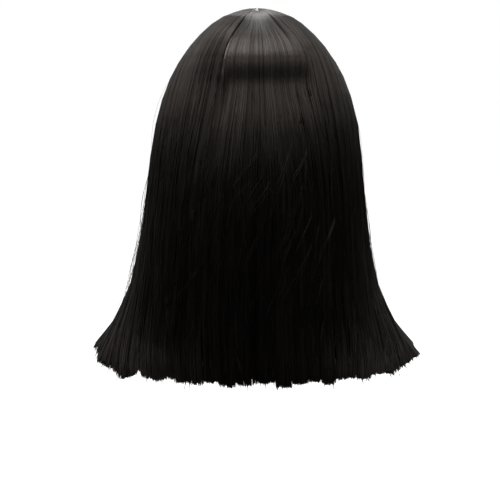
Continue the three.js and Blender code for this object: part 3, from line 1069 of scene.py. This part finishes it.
for node, panel in PANELS.items():
    piece = join(panel_core(node, panel["piece"]), outer_strands(node))
    if node == "hair_back":
        piece = join(join(piece, seam_hair()), rim_side(RIM_SIDE_STRANDS))
    finish_piece(piece, "hair", HAIR, node)
inside_hair = (inner_strands(INNER_STRANDS), face_strands(FACE_STRANDS), end_strands(END_STRANDS))
for piece in (*inside_hair, loose_strands()):
    finish_piece(piece, "hair", HAIR)
finish_piece(sewn_rows(), "net", NET)
for node, material in (("cap", NET), ("parting_strip", PARTING)):
    mesh = frame["nodes"][node].data
    mesh.materials.clear()
    mesh.materials.append(material)


# The camera is at the photo's angle: behind the wearer and a little above
IMAGE_PIXELS = 500
PIXEL = 0.000887
CAMERA_DISTANCE = 1.65
CAMERA_ELEVATION = math.radians(8)
CAMERA_TARGET = (0.0062, 0.007, -0.2089)
SENSOR = 36.0


def add_camera():
    away = (0, math.cos(CAMERA_ELEVATION), math.sin(CAMERA_ELEVATION))
    spot = [t + CAMERA_DISTANCE * a for t, a in zip(CAMERA_TARGET, away)]
    bpy.ops.object.camera_add(location=spot, rotation=(math.pi / 2 - CAMERA_ELEVATION, 0, math.pi))
    camera = bpy.context.object
    camera.data.sensor_width = SENSOR
    camera.data.lens = SENSOR * CAMERA_DISTANCE / (IMAGE_PIXELS * PIXEL)
    bpy.context.scene.camera = camera


FLOOR_HEIGHT = -0.5
FLOOR_SIZE = 400.0
FLOOR_TONE = (0.95, 0.95, 0.95, 1)
FLOOR_GLOW = 0.2


def add_floor():
    bpy.ops.mesh.primitive_plane_add(size=FLOOR_SIZE, location=(0, 0, FLOOR_HEIGHT))
    floor = bpy.context.object
    floor.name = "floor"
    floor.visible_glossy = False
    floor.visible_diffuse = False
    material, start = new_material("pale_floor")
    glow = {"Emission Color": WHITE, "Emission Strength": FLOOR_GLOW}
    finish_material(start, {"Base Color": FLOOR_TONE, **glow})
    floor.data.materials.append(material)


# Light of the dome, by elevation in degrees
DOME = (
    *((-90, 0.02), (-12, 0.03), (-2, 0.08), (10, 0.28), (22, 0.7), (34, 1.25)),
    *((46, 1.45), (58, 0.85), (72, 0.55), (90, 0.8)),
)
DOME_SCALE = 2.0
DOME_LEAN = 0.25  # how much brighter the dome is on the wearer's left
DOME_BACK = 0.25  # how much brighter it is behind the wearer


def add_dome():
    """A soft dome that is bright above and dark round the horizon, and plain white behind the object."""
    world = bpy.data.worlds.new("studio")
    bpy.context.scene.world = world
    world.use_nodes = True
    world.node_tree.nodes.clear()
    start = Wire(world.node_tree)
    direction = start.node("ShaderNodeTexCoord", output="Generated")
    height = start.node("ShaderNodeSeparateXYZ", {}, {"Vector": direction}, output="Z")
    stops = [((math.sin(math.radians(degrees)) + 1) / 2, light / DOME_SCALE) for degrees, light in DOME]
    dome = start.node("ShaderNodeValToRGB", {"stops": stops}, {0: 0.5 * height + 0.5})
    across = start.node("ShaderNodeSeparateXYZ", {}, {"Vector": direction}, output="X")
    along = start.node("ShaderNodeSeparateXYZ", {}, {"Vector": direction}, output="Y")
    seen = start.node("ShaderNodeLightPath", output="Is Camera Ray")
    strength = seen + (1 - seen) * DOME_SCALE * dome * (1 + DOME_LEAN * across + DOME_BACK * along)
    light = start.node("ShaderNodeBackground", {}, {"Color": WHITE, "Strength": strength})
    start.node("ShaderNodeOutputWorld", {}, {"Surface": light})


# The soft boxes: place, aim and size in metres, and power in watts
SOFTBOXES = (
    ((0.02, 0.11, 1.24), (0, 0.05, -0.03), (0.84, 0.64), 9.8),
    ((0.25, -1.1, 1.0), (0, 0, 0), (0.9, 0.5), 4.2),
    ((-0.65, -1.05, 0.42), (0, -0.05, -0.15), (0.6, 0.6), 7.0),
)


def add_softbox(spot, aim, size, energy):
    bpy.ops.object.light_add(type="AREA", location=spot)
    box = bpy.context.object
    box.data.shape = "RECTANGLE"
    box.data.size, box.data.size_y = size
    box.data.energy = energy
    box.visible_camera = False
    away = np.array(spot) - np.array(aim)
    tilt = math.acos(away[2] / np.linalg.norm(away))
    box.rotation_euler = (tilt, 0, math.atan2(away[0], -away[1]))


add_camera()
add_floor()
add_dome()
for softbox in SOFTBOXES:
    add_softbox(*softbox)
bpy.context.scene.view_settings.view_transform = "Standard"
